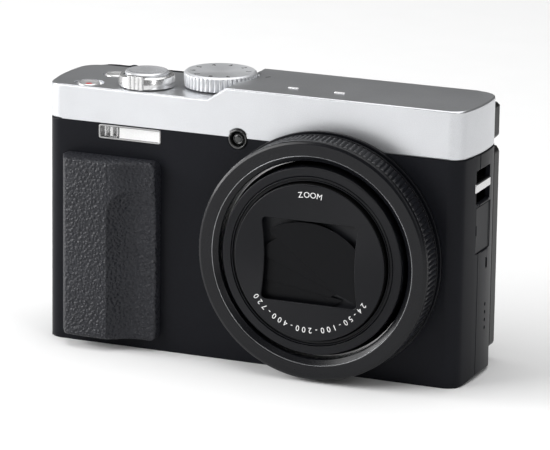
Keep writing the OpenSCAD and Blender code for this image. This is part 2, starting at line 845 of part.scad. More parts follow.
module viewfinder_display() {
    color("#3c4148") box([finder_x[0] + 9, finder_front_y + 1.25, finder_z[0] + 1.6],
        [finder_x[0] + 21, finder_front_y + 2.4, finder_z[1] - 1.6]);
}

// ---------- screen ----------

module screen_hinge_plate() {
    color("#3f4246") difference() {
        union() {
            box([-18, wall_back_y + rest_gap, 12], [48, wall_back_y + 0.75, hinge_z - 0.1]);
            for (x = plate_knuckles) {
                translate([x, hinge_y, hinge_z]) rotate([0, 90, 0]) cylinder(h = knuckle_w, r = hinge_r);
                box([x, wall_back_y + rest_gap, hinge_z - 0.75],
                    [x + knuckle_w, hinge_y, hinge_z - 0.1]);
            }
        }
        for (x = plate_knuckles) translate([x - 1, hinge_y, hinge_z]) rotate([0, 90, 0])
            cylinder(h = knuckle_w + 2, r = hinge_pin_r);
    }
}

module screen_hinge_pins() {
    color("#9ea2a6") for (x = plate_knuckles) translate([x - knuckle_w, hinge_y, hinge_z])
        rotate([0, 90, 0]) cylinder(h = 3 * knuckle_w, r = hinge_pin_r);
}

module screen_frame() {
    y0 = back_y - screen_t;
    color("#1e1f22") difference() {
        union() {
            along_y(y0, back_y) rounded_rect([screen_x[0], screen_z[0]],
                [screen_x[1], screen_z[1]], 1.6);
            for (x = plate_knuckles) for (s = [-knuckle_w, knuckle_w + knuckle_gap])
                difference() {
                    union() {
                        translate([x + s, hinge_y, hinge_z]) rotate([0, 90, 0])
                            cylinder(h = knuckle_w - knuckle_gap, r = hinge_r);
                        box([x + s, hinge_y - hinge_r, screen_z[1] - 1],
                            [x + s + knuckle_w - knuckle_gap, back_y - 0.1, hinge_z]);
                    }
                    translate([x + s - 1, hinge_y, hinge_z]) rotate([0, 90, 0])
                        cylinder(h = knuckle_w + 2, r = hinge_pin_r + 0.05);
                }
        }
        along_y(back_y - 1.1, back_y + 1) rounded_rect([screen_x[0] + 1.4, screen_z[0] + 1.4],
            [screen_x[1] - 1.4, screen_z[1] - 1.4], 1);
    }
}

module screen_glass() {
    color("#101215") along_y(back_y - 1.05, back_y - 0.05)
        rounded_rect([screen_x[0] + 1.45, screen_z[0] + 1.45],
            [screen_x[1] - 1.45, screen_z[1] - 1.45], 0.95);
}

// ---------- rear controls ----------

module rear_dial() {
    color("#2a2b2e") difference() {
        stub(rear_dial_at, pad_back_y - 1.6, pad_back_y + 0.5, rear_dial_r);
        stub(rear_dial_at, 0, far, rear_dial_hole_r);
        for (a = [0 : 10 : 359]) translate([rear_dial_at[0], 0, rear_dial_at[1]]) rotate([0, a, 0])
            translate([rear_dial_r + 0.1, pad_back_y + 1, 0]) rotate([90, 0, 0])
                cylinder(h = 3, r = 0.4, $fn = 24);
    }
}

module set_button() {
    color("#37383b") union() {
        stub(rear_dial_at, pad_back_y - 1.2, pad_back_y + 0.7, set_r);
        stub(rear_dial_at, pad_back_y - 4.6, pad_back_y - 1.1, 3.2);
    }
}

module rear_button(index) {
    stub(rear_buttons[index], pad_back_y - 3.4, pad_back_y + 0.5, rear_button_r);
}

module play_button() { color("#303134") rear_button(0); }
module display_button() { color("#303134") rear_button(1); }
module delete_button() { color("#303134") rear_button(2); }
module lock_button() { color("#303134") rear_button(3); }

// ---------- lens side ----------

module port_cover() {
    color("#202124") difference() {
        union() {
            box([half_w - 1.3, port_y[0] + 0.15, port_z[0] + 0.15],
                [half_w - 0.3, port_y[1] - 0.85, port_z[1] - 0.15]);
            // hinge barrel on the rear edge
            post([half_w - 0.9, port_y[1] - 0.85], port_z[0] + 0.15, port_z[1] - 0.15, 0.7);
        }
        post([half_w - 0.9, port_y[1] - 0.85], port_z[0] - 1, port_z[1] + 1, 0.3);
        // finger nick
        box([half_w - 0.5, port_y[0], port_z[0] + 4.6], [far, port_y[0] + 0.7, port_z[0] + 7.2]);
    }
}

module usb_port() {
    color("#8f9296") difference() {
        box([half_w - 8.5, port_y[0] + 2, port_z[0] + 1], [half_w - 2.2, port_y[0] + 5.2, port_z[0] + 9.8]);
        box([half_w - 7.5, port_y[0] + 2.5, port_z[0] + 1.5], [far, port_y[0] + 4.7, port_z[0] + 9.3]);
    }
}

module hdmi_port() {
    color("#8f9296") difference() {
        box([half_w - 8.5, port_y[0] + 6, port_z[0] + 2], [half_w - 2.2, port_y[0] + 8.6, port_z[0] + 8.8]);
        box([half_w - 7.5, port_y[0] + 6.5, port_z[0] + 2.5], [far, port_y[0] + 8.1, port_z[0] + 8.3]);
    }
}

module strap_eyelet() {
    color("#c8cacc") difference() {
        union() {
            box([half_w - 1.3, eyelet_y[0] - 0.6, eyelet_bar_z],
                [half_w - 0.1, eyelet_y[1] + 0.6, eyelet_bar_z + eyelet_bar_h]);
            for (y = [eyelet_y[0] + 0.2, eyelet_y[1] - 1.2])
                box([half_w - 3.5, y, eyelet_bar_z], [half_w - 0.8, y + 1, eyelet_bar_z + eyelet_bar_h]);
        }
        box([half_w - 2, eyelet_y[0] - 1, eyelet_bar_z - 1], [half_w - 0.9, eyelet_y[0] - 0.05, far]);
    }
}

// ---------- battery door, mount and screws ----------

module battery_door() {
    color("#1f2023") difference() {
        union() {
            box([door_x[0] + 0.2, door_y[0] + 0.2, 0.15], [door_x[1] - 1.2, door_y[1] - 0.2, 0.15 + door_t]);
            for (y = [door_y[0] + 2, door_y[1] - 6]) {
                translate([door_pin_x - 1, y, 0.95]) rotate([-90, 0, 0]) cylinder(h = 4, r = 0.8);
                box([door_x[1] - 1.6, y, 0.15], [door_pin_x - 0.9, y + 4, 0.95]);
            }
        }
        translate([door_pin_x - 1, door_y[0], 0.95]) rotate([-90, 0, 0]) cylinder(h = 30, r = 0.4 + 0.05);
        // slot of the latch
        box([door_x[0] + 5.4, door_y[0] + 5.4, -1], [door_x[0] + 11.6, door_y[0] + 14.6, 0.75]);
    }
}

module door_pin() {
    color("#9ea2a6") translate([door_pin_x - 1, door_y[0] + 0.4, 0.95]) rotate([-90, 0, 0])
        cylinder(h = door_y[1] - door_y[0] - 0.8, r = 0.4);
}

module door_latch() {
    color("#4a4c50") box([door_x[0] + 5.6, door_y[0] + 5.6, 0.2],
        [door_x[0] + 9.4, door_y[0] + 14.4, 0.7]);
}

module tripod_bush() {
    color("#8d9094") difference() {
        union() {
            post(tripod_at, 0.1, 6.5, 4.5);
            post(tripod_at, wall + rest_gap, 1.95, 6.3);
        }
        post(tripod_at, -1, 5.6, tripod_bore_r);
    }
}

// Casing screws, with cross recesses in their heads
module screws() {
    color("#3a3b3d") for (at = floor_screws) difference() {
        union() {
            post(at, 0.1, 0.7, screw_r + 0.5);
            post(at, 0.6, 2, screw_r - 0.05);
        }
        for (a = [0, 90]) translate([at[0], at[1], 0]) rotate(a)
            cube([1.6, 0.3, 0.7], center = true);
    }
}

front_casing();
rear_casing();
top_cover();
chassis();
main_board();
image_sensor();
lens_base();
lens_flange();
front_bezel();
control_ring();
cam_ring();
zoom_motor();
zoom_pinion();
barrel_1();
barrel_2();
barrel_3();
name_ring();
front_element();
barrier_blade_1();
barrier_blade_2();
barrier_blade_3();
barrier_blade_4();
grip_skin();
flash_window();
flash_reflector();
flash_capacitor();
af_lamp();
mode_dial();
mode_dial_shaft();
zoom_lever();
shutter_button();
shutter_spring();
record_button();
power_button();
microphones();
viewfinder_housing();
eyepiece_lens();
viewfinder_display();
screen_hinge_plate();
screen_hinge_pins();
screen_frame();
screen_glass();
rear_dial();
set_button();
play_button();
display_button();
delete_button();
lock_button();
port_cover();
usb_port();
hdmi_port();
strap_eyelet();
battery();
memory_card();
battery_door();
door_pin();
door_latch();
tripod_bush();
speaker();
screws();
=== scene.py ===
import json
import math

import bmesh
import bpy
from mathutils import Matrix, Vector, noise
from mathutils.bvhtree import BVHTree
from mathutils.kdtree import KDTree

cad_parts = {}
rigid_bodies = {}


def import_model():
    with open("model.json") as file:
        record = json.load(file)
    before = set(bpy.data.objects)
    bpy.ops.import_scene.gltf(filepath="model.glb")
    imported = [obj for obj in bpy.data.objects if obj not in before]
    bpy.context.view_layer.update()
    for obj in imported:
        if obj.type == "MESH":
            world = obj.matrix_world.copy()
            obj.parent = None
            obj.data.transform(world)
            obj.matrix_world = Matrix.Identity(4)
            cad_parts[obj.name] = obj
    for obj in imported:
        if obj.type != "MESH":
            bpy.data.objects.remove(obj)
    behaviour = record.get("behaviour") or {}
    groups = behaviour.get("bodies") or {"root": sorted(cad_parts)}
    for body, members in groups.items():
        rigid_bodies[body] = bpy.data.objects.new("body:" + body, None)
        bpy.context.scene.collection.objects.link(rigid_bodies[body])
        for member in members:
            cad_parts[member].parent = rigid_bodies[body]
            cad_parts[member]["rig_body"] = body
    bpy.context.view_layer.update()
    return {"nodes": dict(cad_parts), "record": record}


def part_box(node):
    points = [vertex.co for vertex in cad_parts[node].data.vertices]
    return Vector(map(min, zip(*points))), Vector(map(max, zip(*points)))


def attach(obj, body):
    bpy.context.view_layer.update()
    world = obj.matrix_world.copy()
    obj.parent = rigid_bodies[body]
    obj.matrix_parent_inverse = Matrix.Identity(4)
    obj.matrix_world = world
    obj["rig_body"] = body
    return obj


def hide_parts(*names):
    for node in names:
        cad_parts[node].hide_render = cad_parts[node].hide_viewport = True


MM = 0.001
TURN = 2 * math.pi
FINE = 192          # steps round a turned part
SHARP = 34          # degrees; a steeper edge than this is rounded, or stays crisp where it can't be
JOIN = 3e-6         # metres; CAD corners that are closer than this become one
FLAT = 0.7          # degrees; CAD facets that turn by less than this become one face
ATTEMPTS = 14       # rounds of leaving out edges that have no room for a rounding
STRAY = 0.35        # how far a rounded corner may leave the CAD surface, as a share of the rounding
CROWD = 1.6         # how far round a fold the corners count as crowded, as a share of the rounding

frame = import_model()


# ---------- places, read from the CAD frame, in millimetres ----------

def low(node):
    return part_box(node)[0] / MM


def high(node):
    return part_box(node)[1] / MM


def middle(node):
    return (low(node) + high(node)) / 2


def radius(node):
    return (high(node).x - low(node).x) / 2


LENS = middle("control_ring")


# ---------- mesh tools ----------

def rounded(outline, size, steps=3, closed=True):
    """The outline with every corner replaced by a small arc. Corners on the axis of a turned part stay."""
    points = [Vector(p) for p in outline]
    count = len(points)
    result = []
    for i, corner in enumerate(points):
        if not closed and i in (0, count - 1):
            result.append(corner)
            continue
        before, after = points[i - 1] - corner, points[(i + 1) % count] - corner
        cut = min(size, before.length * 0.45, after.length * 0.45)
        start = corner + before.normalized() * cut
        end = corner + after.normalized() * cut
        for k in range(steps + 1):
            t = k / steps
            result.append(start * (1 - t) ** 2 + corner * (2 * t * (1 - t)) + end * t ** 2)
    return result


def finished(name, bm, material, body, nodes=(), sharp=SHARP, weighted=True):
    """Turns a bmesh into a piece that rides on its body and stands for its CAD nodes.

    With sharp=None the mesh keeps its own normals and crisp edges, as a CAD shape has them.
    """
    if sharp:
        bmesh.ops.recalc_face_normals(bm, faces=bm.faces)
    mesh = bpy.data.meshes.new(name)
    bm.to_mesh(mesh)
    bm.free()
    mesh.materials.append(material)
    for face in mesh.polygons:
        face.use_smooth = True
    if sharp:
        mesh.set_sharp_from_angle(angle=math.radians(sharp))
    piece = bpy.data.objects.new(name, mesh)
    bpy.context.scene.collection.objects.link(piece)
    if weighted:
        add_weighted_normals(piece)
    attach(piece, body)
    if nodes:
        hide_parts(*nodes)
    return piece


def add_weighted_normals(piece):
    modifier = piece.modifiers.new("weighted", "WEIGHTED_NORMAL")
    modifier.keep_sharp = True
    modifier.weight = 80


def lathe(outline, centre, axis, steps=FINE, radius_at=None):
    """A solid turned from (radius, height) points in millimetres about a line along axis "y" or "z"."""
    bm = bmesh.new()
    rings = []
    for r, h in outline:
        count = 1 if r < 1e-6 else steps
        ring = []
        for i in range(count):
            t = TURN * i / steps
            rr = radius_at(r, h, t) if radius_at else r
            a, b = rr * math.cos(t), rr * math.sin(t)
            if axis == "y":
                spot = (centre.x + a, h, centre.z + b)
            else:
                spot = (centre.x + a, centre.y + b, h)
            ring.append(bm.verts.new(Vector(spot) * MM))
        rings.append(ring)
    pairs = list(zip(rings, rings[1:]))
    if len(rings[0]) > 1:
        pairs.append((rings[-1], rings[0]))
    for one, two in pairs:
        for i in range(steps):
            k = (i + 1) % steps
            corners = [one[i % len(one)], one[k % len(one)], two[k % len(two)], two[i % len(two)]]
            face = list(dict.fromkeys(corners))
            if len(face) > 2:
                bm.faces.new(face)
    return bm


def folded_spots(bm, cad_surface):
    """Corners of the triangles that face against the CAD surface, where a bevel ran into its neighbours."""
    spots = []
    for loops in bm.calc_loop_triangles():
        a, b, c = (loop.vert.co for loop in loops)
        across = (b - a).cross(c - a)
        facing = cad_surface.find_nearest((a + b + c) / 3)[1]
        if across.length > 2e-10 and across.normalized().dot(facing) < 0.3:
            spots += [a, b, c]
    return spots


def softened(node, material, edge):
    """The CAD shape of a node with its facets joined and its edges rounded wherever there is room.

    Where roundings run into each other and fold, the corners near the fold are left out next time.
    """
    source = frame["nodes"][node]
    base = bmesh.new()
    base.from_mesh(source.data)
    bmesh.ops.remove_doubles(base, verts=base.verts, dist=JOIN)
    bmesh.ops.dissolve_limit(base, angle_limit=math.radians(FLAT), verts=base.verts, edges=base.edges)
    bmesh.ops.connect_verts_concave(base, faces=base.faces)
    for e in base.edges:
        e.smooth = not e.is_manifold or e.calc_face_angle() < math.radians(SHARP)
    cad_surface = BVHTree.FromBMesh(base)
    corners = KDTree(len(base.verts))
    for i, vert in enumerate(base.verts):
        corners.insert(vert.co, i)
    corners.balance()
    crowded = set()
    for _ in range(ATTEMPTS):
        bm = base.copy()
        bm.verts.index_update()
        steep = [e for e in bm.edges if not e.smooth and crowded.isdisjoint(v.index for v in e.verts)]
        bmesh.ops.bevel(bm, geom=steep, offset=edge * MM, offset_type="OFFSET", segments=2, profile=0.5,
                        affect="EDGES", clamp_overlap=False)
        for vert in bm.verts:
            spot, _, _, gap = cad_surface.find_nearest(vert.co)
            if gap > STRAY * edge * MM:
                vert.co = spot
        near_folds = {i for spot in folded_spots(bm, cad_surface)
                      for _, i, _ in corners.find_range(spot, CROWD * edge * MM)}
        if near_folds <= crowded:
            break
        crowded |= near_folds
    base.free()
    return finished(node + "_shell", bm, material, source["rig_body"], [node], sharp=None)


# ---------- materials ----------

def grey(level, tint=(1, 1, 1)):
    """Linear colour of an sRGB grey from 0 to 255, with an optional tint."""
    s = level / 255
    linear = s / 12.92 if s < 0.04045 else ((s + 0.055) / 1.055) ** 2.4
    return (linear * tint[0], linear * tint[1], linear * tint[2], 1)


GLOSS_SPREAD = 0.05             # how far the roughness strays over a surface
DRIFT = 60                      # scale of the slow colour drift
TOOL_MARKS = 1250               # scale of the fine rings on a turned surface
PEBBLE_SHIFT = 0.0006           # how far noise pushes the leather pebbles about, in metres


def new_node(tree, kind, inputs, operation=None):
    """A shader node with the constant values of its inputs."""
    node = tree.nodes.new("ShaderNode" + kind)
    if operation:
        node.operation = operation
    for socket, value in inputs.items():
        node.inputs[socket].default_value = value
    return node


def spun_sheen(tree, shader, place, centre, axis):
    """Makes the sheen run out from the axis of a turned surface, and gives the place seen from there."""
    shader.inputs["Anisotropic"].default_value = 0.75
    arm = new_node(tree, "Mapping", {"Location": -centre * MM})
    around = new_node(tree, "VectorMath", {1: (0, 1, 0) if axis == "Y" else (0, 0, 1)}, "CROSS_PRODUCT")
    tree.links.new(place, arm.inputs["Vector"])
    tree.links.new(arm.outputs["Vector"], around.inputs[0])
    tree.links.new(around.outputs["Vector"], shader.inputs["Tangent"])
    return arm.outputs["Vector"]


def ring_height(tree, place, axis):
    """Relief of fine tool marks round an axis."""
    wave = new_node(tree, "TexWave", {"Scale": TOOL_MARKS, "Distortion": 1.5})
    wave.wave_type = "RINGS"
    wave.rings_direction = axis
    tree.links.new(place, wave.inputs["Vector"])
    return wave.outputs["Fac"]


def leather_height(tree, place, cells):
    """Relief of leather pebbles, which stand lowest in their middle and so are used inverted."""
    push = new_node(tree, "TexNoise", {"Scale": cells * 0.8})
    warp = new_node(tree, "VectorMath", {1: (PEBBLE_SHIFT, PEBBLE_SHIFT, PEBBLE_SHIFT)}, "MULTIPLY_ADD")
    pebbles = new_node(tree, "TexVoronoi", {"Scale": cells})
    pebbles.feature = "SMOOTH_F1"
    pebbles.inputs["Smoothness"].default_value = 0.35
    tree.links.new(place, push.inputs["Vector"])
    tree.links.new(push.outputs["Color"], warp.inputs[0])
    tree.links.new(place, warp.inputs[2])
    tree.links.new(warp.outputs["Vector"], pebbles.inputs["Vector"])
    return pebbles.outputs["Distance"]


def surface(name, dark, light, roughness, metallic=0.0, grain=2500, bump=0.05, specular=0.5,
            coat=0.0, bump_size=0.00004, glass=0.0, spun=None, axis="Y", rings=False, cells=None):
    """A material with fine grain, slow colour drift and uneven gloss, all from noise in object space.

    spun is the centre of a surface turned about the given axis, whose sheen runs out from there, and
    rings adds fine tool marks round it. cells is the number of leather pebbles to a metre.
    """
    material = bpy.data.materials.new(name)
    material.use_nodes = True
    tree = material.node_tree
    link = tree.links.new
    shader = tree.nodes["Principled BSDF"]
    shader.inputs["Metallic"].default_value = metallic
    shader.inputs["Specular IOR Level"].default_value = specular
    shader.inputs["Coat Weight"].default_value = coat
    shader.inputs["Coat Roughness"].default_value = 0.08
    shader.inputs["Transmission Weight"].default_value = glass

    # one pattern of fine grain and slow drift drives both the colour and the gloss
    place = new_node(tree, "TexCoord", {}).outputs["Object"]
    fine = new_node(tree, "TexNoise", {"Scale": grain, "Detail": 3})
    slow = new_node(tree, "TexNoise", {"Scale": DRIFT, "Detail": 4})
    link(place, fine.inputs["Vector"])
    link(place, slow.inputs["Vector"])
    slow_share = new_node(tree, "Math", {1: 0.4}, "MULTIPLY")
    mixed = new_node(tree, "Math", {1: 0.6}, "MULTIPLY_ADD")
    link(slow.outputs["Fac"], slow_share.inputs[0])
    link(fine.outputs["Fac"], mixed.inputs[0])
    link(slow_share.outputs[0], mixed.inputs[2])
    ramp = new_node(tree, "ValToRGB", {})
    for stop, position, colour in zip(ramp.color_ramp.elements, (0.3, 0.7), (dark, light)):
        stop.position = position
        stop.color = colour
    link(mixed.outputs[0], ramp.inputs["Fac"])
    link(ramp.outputs["Color"], shader.inputs["Base Color"])
    gloss = new_node(tree, "MapRange", {"To Min": max(0.02, roughness - GLOSS_SPREAD),
                                        "To Max": roughness + GLOSS_SPREAD})
    link(mixed.outputs[0], gloss.inputs["Value"])
    link(gloss.outputs["Result"], shader.inputs["Roughness"])

    height = fine.outputs["Fac"]
    if spun:
        from_axis = spun_sheen(tree, shader, place, spun, axis)
        if rings:
            height = ring_height(tree, from_axis, axis)
    if cells:
        height = leather_height(tree, place, cells)
    relief = new_node(tree, "Bump", {"Strength": bump, "Distance": bump_size})
    relief.invert = bool(cells)
    link(height, relief.inputs["Height"])
    link(relief.outputs["Normal"], shader.inputs["Normal"])
    return material


# tints, as shares of a grey's red, green and blue
COOL = (0.92, 0.97, 1.24)       # the blacks
COLD = (0.975, 0.99, 1.02)      # the silver
GREEN = (0.4, 1, 0.5)
GOLD = (1, 0.8, 0.45)
LENS_BLUE = (0.8, 0.9, 1)
LAMP_BLUE = (0.9, 1, 1)
WRAP_BLUE = (0.7, 0.8, 1)

# casing and grip
black_paint = surface("black_satin_paint", grey(22, COOL), grey(28, COOL), 0.36, specular=0.08, bump=0.10)
silver_paint = surface("silver_satin_paint", grey(204, COLD), grey(226, COLD), 0.32,
                       metallic=0.86, grain=5200, bump=0.10)
rubber = surface("grip_rubber", grey(28, COOL), grey(40, COOL), 0.48, specular=0.32, bump=1.0,
                 bump_size=0.0004, cells=1300)
dark_plastic = surface("dark_plastic", grey(16), grey(23), 0.42, specular=0.3, bump=0.12)
bright_metal = surface("bright_metal", grey(205), grey(225), 0.22, metallic=1.0, bump=0.04)

# lens
spun_black = surface("spun_black", grey(16, COOL), grey(21, COOL), 0.30, specular=0.2, spun=LENS, bump=0.06)
knurl_metal = surface("knurl_black", grey(22, COOL), grey(30, COOL), 0.34, specular=0.45, bump=0.06)
bezel_black = surface("bezel_black", grey(14, COOL), grey(19, COOL), 0.26, specular=0.26, bump=0.04)
# painted highlight: a light metal for the bead, brighter than the black bezel it sits on, to give the
# bright line along the bezel's inner edge
highlight_bead_metal = surface("highlight_bead_metal", grey(120, COLD), grey(140, COLD), 0.22, metallic=0.9, bump=0.03)
barrel_black = surface("barrel_black", grey(6), grey(9), 0.36, specular=0.1, bump=0.05)
disc_black = surface("disc_black", grey(15, COOL), grey(20, COOL), 0.33, specular=0.2, spun=LENS, bump=0.08)
blade_coat = surface("blade_coat", grey(9, COOL), grey(13, COOL), 0.36, specular=0.12, bump=0.10)
# painted light: the mask's coat is lighter than the blade coat to cancel the shade that falls on it behind
# the blades
shade_cancelling_mask_coat = surface("shade_cancelling_mask_coat", grey(24, COOL), grey(28, COOL), 0.45, specular=0.3, bump=0.08)
black_lens = surface("black_satin_metal", grey(20), grey(28), 0.32, specular=0.35, bump=0.08)
coated_glass = surface("coated_glass", grey(5, LENS_BLUE), grey(8, LENS_BLUE), 0.12, specular=0.25,
                       bump=0.0)

# top controls
spun_dial = surface("spun_dial", grey(216, COLD), grey(232, COLD), 0.30, metallic=0.55, axis="Z",
                    spun=middle("mode_dial"), rings=True, bump=0.25)
spun_top = surface("spun_top", grey(218, COLD), grey(234, COLD), 0.26, metallic=0.6, axis="Z",
                   spun=middle("shutter_button"), rings=True, bump=0.2)
silver_metal = surface("silver_turned_metal", grey(215), grey(232), 0.25, metallic=0.8, bump=0.05)
polished_silver = surface("polished_silver", grey(225), grey(238), 0.2, metallic=0.6, bump=0.03)
red_dot = surface("red_dot", grey(200, (1, 0.02, 0.03)), grey(215, (1, 0.03, 0.04)), 0.25, coat=0.5)
white_print = surface("white_print", grey(225), grey(240), 0.6, specular=0.2)
dark_print = surface("dark_print", grey(38), grey(52), 0.6, specular=0.2)

# flash, lamp and screen
clear_glass = surface("clear_glass", grey(235), grey(245), 0.03, glass=1.0, bump=0.0)
clear_rim = surface("clear_rim", grey(150), grey(185), 0.12, metallic=0.35, bump=0.03)
flash_white = surface("flash_white", grey(238), grey(248), 0.25, coat=0.6, bump=0.03)
dark_glass = surface("dark_glass", grey(8), grey(12), 0.06, specular=0.5, bump=0.0, coat=0.6)
lamp_glass = surface("lamp_glass", grey(18, LAMP_BLUE), grey(40, LAMP_BLUE), 0.12, specular=0.5,
                     bump=0.3, grain=1500, coat=0.5)
lamp_metal = surface("lamp_metal", grey(70), grey(90), 0.25, metallic=0.8, bump=0.04)

# inside
board_green = surface("board_green", grey(60, GREEN), grey(80, GREEN), 0.5)
steel = surface("brushed_steel", grey(150), grey(175), 0.3, metallic=1.0)
brass = surface("brass", grey(180, GOLD), grey(200, GOLD), 0.3, metallic=1.0)
white_plastic = surface("white_plastic", grey(225), grey(238), 0.4)
battery_wrap = surface("battery_wrap", grey(50, WRAP_BLUE), grey(62, WRAP_BLUE), 0.45)

SLOT_MATERIAL = {
    "black_casing": black_paint, "silver_cover": silver_paint, "frame_metal": steel,
    "board": board_green, "sensor": dark_glass, "lens_black": black_lens, "cam_metal": steel,
    "gear_plastic": white_plastic, "lens_glass": coated_glass, "blade_metal": blade_coat,
    "grip_rubber": rubber, "flash_clear": clear_glass, "reflector": bright_metal,
    "capacitor_sleeve": dark_plastic, "lamp_lens": dark_glass, "silver_control": silver_paint,
    "brass_shaft": brass, "spring_steel": steel, "dark_plastic": dark_plastic,
    "finder_plastic": dark_plastic, "hinge_steel": steel, "screen_plastic": dark_plastic,
    "screen_glass": dark_glass, "port_metal": steel, "eyelet_metal": bright_metal,
    "battery_case": battery_wrap, "card_plastic": dark_plastic, "bush_metal": steel,
    "screw_steel": steel,
}

slot_of = {}
for part in frame["record"]["subparts"]:
    slot_of[part["node"]] = part["material_slot"]
for node, piece in frame["nodes"].items():
    piece.data.materials.clear()
    piece.data.materials.append(SLOT_MATERIAL[slot_of[node]])


# ---------- piece makers ----------

def turned(name, node, outline, material, axis="y", centre=LENS, edge=0.12, steps=FINE, radius_at=None,
           replaces=True):
    """A turned piece that takes its body from a CAD node."""
    closed = outline[0][0] > 1e-6
    bm = lathe(rounded(outline, edge, closed=closed), centre, axis, steps, radius_at)
    return finished(name, bm, material, frame["nodes"][node]["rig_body"],
                    [node] if replaces else [])


def arc(centre, r, start, end, count):
    """Points on an arc, with the angles in degrees."""
    points = []
    for i in range(count + 1):
        t = math.radians(start + (end - start) * i / count)
        points.append((centre[0] + r * math.cos(t), centre[1] + r * math.sin(t)))
    return points


def flat_mesh(outlines, thick, edge=0.0, text=None, size=1.0):
    """A flat plate, with holes where outlines lie inside each other, or a plate in the shape of a text."""
    curve = bpy.data.curves.new("outline", "FONT" if text else "CURVE")
    if text:
        curve.body = text
        curve.size = size
        curve.align_x, curve.align_y = "CENTER", "CENTER"
    else:
        curve.dimensions = "2D"
        for outline in outlines:
            spline = curve.splines.new("POLY")
            spline.points.add(len(outline) - 1)
            for point, (x, y) in zip(spline.points, outline):
                point.co = (x, y, 0, 1)
            spline.use_cyclic_u = True
    curve.fill_mode = "BOTH"
    curve.extrude = thick / 2 - edge
    curve.bevel_depth = edge
    curve.bevel_resolution = 2 if edge else 0
    curve.offset = -edge
    holder = bpy.data.objects.new("outline", curve)
    mesh = bpy.data.meshes.new_from_object(holder)
    bpy.data.objects.remove(holder)
    bpy.data.curves.remove(curve)
    return mesh


def plate(name, outlines, thick, edge, turn, material, body, nodes=(), marks=()):
    """Plates or texts set into the row frame. marks is a list of (text, size, matrix)."""
    bm = bmesh.new()
    items = [(outlines, None, 1.0, turn)] if outlines else []
    items += [(None, text, size, matrix) for text, size, matrix in marks]
    for shape, text, size, matrix in items:
        mesh = flat_mesh(shape, thick, edge, text, size)
        mesh.transform(Matrix.Scale(MM, 4) @ matrix)
        bm.from_mesh(mesh)
        bpy.data.meshes.remove(mesh)
    bmesh.ops.remove_doubles(bm, verts=bm.verts, dist=2e-7)
    return finished(name, bm, material, body, nodes)


def facing_front(x, y, z, spin=0.0):
    """Turns a drawing so that it faces along -Y at a point, turned in its own plane by spin degrees."""
    return (Matrix.Translation((x, y, z)) @ Matrix.Rotation(math.radians(90), 4, "X")
            @ Matrix.Rotation(math.radians(spin), 4, "Z"))


def facing_up(x, y, z, spin=0.0):
    return Matrix.Translation((x, y, z)) @ Matrix.Rotation(math.radians(spin), 4, "Z")


# ---------- casings and small parts kept in their CAD shape ----------

# radius of the rounding on each
EDGES = {
    "front_casing": 0.3, "rear_casing": 0.3, "top_cover": 0.4, "port_cover": 0.12,
    "battery_door": 0.12, "screen_frame": 0.4, "screen_hinge_plate": 0.15,
    "viewfinder_housing": 0.3, "play_button": 0.25, "display_button": 0.25,
    "delete_button": 0.25, "lock_button": 0.25, "set_button": 0.3, "strap_eyelet": 0.25,
    "lens_base": 0.12, "rear_dial": 0.12, "tripod_bush": 0.1, "door_latch": 0.1,
    "barrier_blade_1": 0.05, "barrier_blade_2": 0.05, "barrier_blade_3": 0.05,
    "barrier_blade_4": 0.05, "screen_glass": 0.1, "eyepiece_lens": 0.1,
}
for node, edge in EDGES.items():
    softened(node, SLOT_MATERIAL[slot_of[node]], edge)


# ---------- lens ----------

BORE = 24.8                     # inside of the front bezel
BARREL = (23.5, 21.2, 19.7)     # outside of the three barrels
SHELL = 1.1                     # thickness of a barrel
TEETH = 140
STEPS_PER_TOOTH = 9
RIB = 0.42                      # depth of the knurl
RIB_SHAPE = 2.6                 # a higher power makes the gaps between the ribs narrower
SLANT = 0.035                   # how far the ribs lean, in radians for each millimetre of depth

y_bezel, y_ring, y_flange = low("front_bezel").y, low("control_ring").y, low("lens_flange").y
y_ring_back, y_flange_back = high("control_ring").y, high("lens_flange").y
y_tail = high("barrel_1").y
RING = radius("control_ring")
NOSE = 27.4                     # outside of the fixed tube that carries the ring


def knurl(r, h, t):
    """Radius of the control ring, with its slanted ribs between two plain rims."""
    inside = y_ring + 0.3 < h < y_ring_back - 0.15
    if r < RING - 0.5 or not inside:
        return r
    slant = (h - y_ring) * SLANT
    return r - RIB * (0.5 + 0.5 * math.cos(TEETH * (t + slant))) ** RIB_SHAPE


ring_rows = [y_ring + 0.35 + i * (y_ring_back - y_ring - 0.7) / 4 for i in range(5)]
knurled = [(NOSE + 0.2, y_ring_back), (NOSE + 0.2, y_ring), (RING - 0.5, y_ring),
           (RING - 0.15, y_ring + 0.2)]
knurled += [(RING, y) for y in ring_rows]
knurled += [(RING - 0.2, y_ring_back - 0.1), (RING - 0.6, y_ring_back)]
ring_bm = lathe(knurled, LENS, "y", TEETH * STEPS_PER_TOOTH, knurl)
finished("control_ring_knurled", ring_bm, knurl_metal, "ring", ["control_ring"],
         sharp=60, weighted=False)

CONE = 1.3                      # width of the polished cone inside the bezel
BEAD = 0.13                     # radius of the bead where the cone meets the front of the bezel; the bead rounds the real edge, and its light metal colour is a painted highlight standing in for the bright line light makes there
turned("front_bezel_rim", "front_bezel", [
    (BORE, high("front_bezel").y), (BORE, y_bezel + 1.3), (BORE + 0.1, y_bezel + 1.1),
    (BORE + CONE, y_bezel + 0.25), (BORE + CONE + 0.3, y_bezel + 0.05), (RING - 0.8, y_bezel),
    (RING - 0.15, y_bezel + 0.35), (RING, y_bezel + 0.6), (RING, y_ring - 0.3), (NOSE, y_ring - 0.3),
    (NOSE, high("front_bezel").y)], bezel_black, edge=0.12)
bead_r, bead_y = BORE + CONE + 0.12, y_bezel + 0.2
turned("bezel_highlight_bead", "front_bezel", [
    (bead_r + BEAD * math.cos(math.radians(a)), bead_y + BEAD * math.sin(math.radians(a)))
    for a in range(0, 360, 30)], highlight_bead_metal, edge=0.02, replaces=False)
